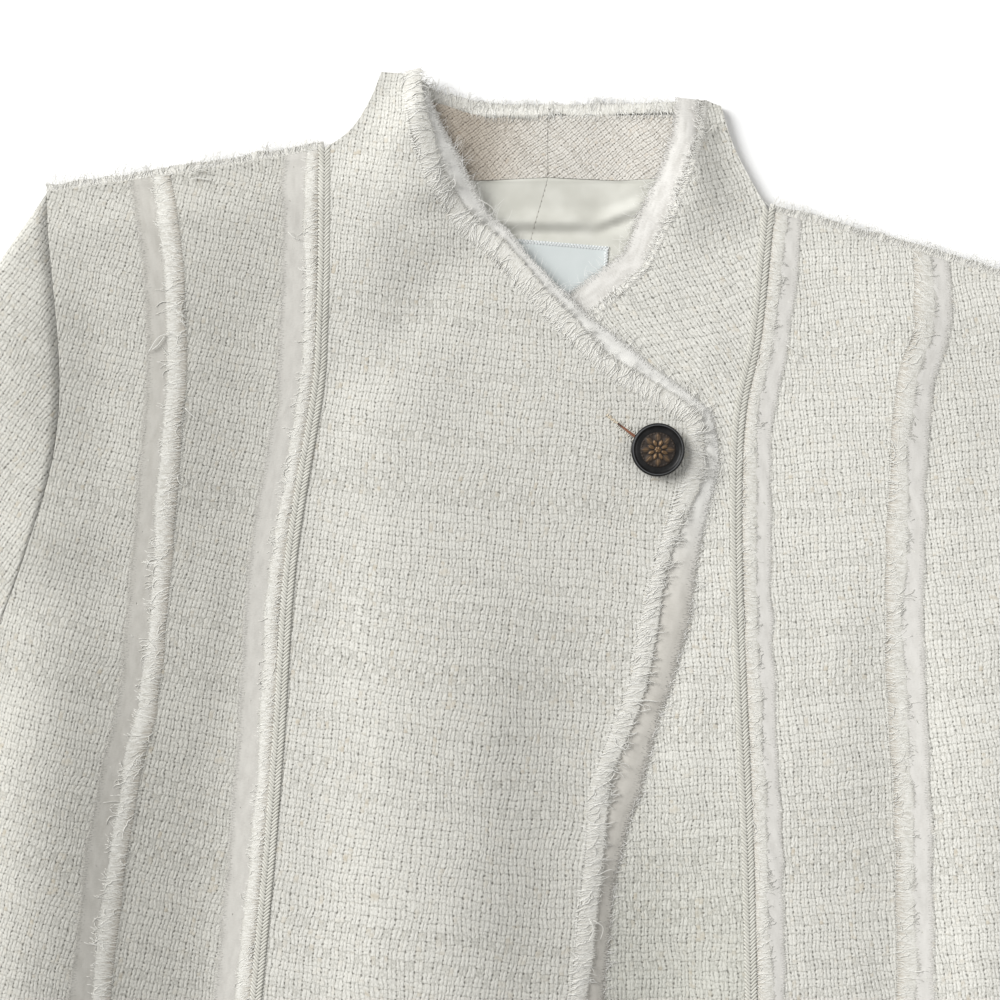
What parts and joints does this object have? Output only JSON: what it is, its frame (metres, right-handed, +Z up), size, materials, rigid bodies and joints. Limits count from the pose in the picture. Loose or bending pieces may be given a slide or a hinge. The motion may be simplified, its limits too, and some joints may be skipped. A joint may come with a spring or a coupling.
{
  "type": "cropped tweed jacket",
  "caption": "Cropped tweed jacket with a funnel collar, frayed edges, chiffon and braid over its seams and a button at the neck, laid flat on its back.",
  "frame": {"origin": "middle of the laid garment's box, on the surface that it lies on", "axes": "+Y towards the collar, +X towards the wearer's left side (the viewer's right), +Z up from the surface, out of the garment's front"},
  "size_m": [1.0104, 0.6606, 0.0175],
  "materials": {
    "tweed": "cream boucle tweed, basket woven of paired slubbed yarns",
    "facing": "the same tweed cut on the bias",
    "satin": "ivory satin lining, soft sheen",
    "label": "bare pale woven tape, zigzag stitched",
    "chiffon": "matt silk chiffon strip with frayed edge",
    "braid": "flat plaited cotton braid, two plaits wide",
    "yarn": "loose yarn ends of the tweed",
    "button": "black, satin rim",
    "bronze": "antique bronze, rubbed relief",
    "shank": "black shank wound with thread"
  },
  "bodies": {
    "root": {"back": "tweed", "collar_back": "tweed", "front_right": "tweed", "side_front_right": "tweed", "side_panel_right": "tweed", "front_left": "tweed", "side_front_left": "tweed", "side_panel_left": "tweed", "sleeve_right": "tweed", "sleeve_left": "tweed", "neck_facing_right": "facing", "neck_facing_left": "facing", "lining_right": "satin", "lining_left": "satin", "label": "label", "chiffon_edge_right": "chiffon", "chiffon_neck_left": "chiffon", "chiffon_inner_right": "chiffon", "chiffon_inner_left": "chiffon", "chiffon_outer_right": "chiffon", "chiffon_outer_left": "chiffon", "braid_right": "braid", "braid_left": "braid", "fringe_edge_right": "yarn", "fringe_neck_left": "yarn", "fringe_collar_back": "yarn", "fringe_inner_right": "yarn", "fringe_inner_left": "yarn", "fringe_outer_right": "yarn", "fringe_outer_left": "yarn", "fringe_shoulder_right": "yarn", "fringe_shoulder_left": "yarn", "button": "button", "button_relief": "bronze", "button_shank": "shank"}
  },
  "joints": []
}
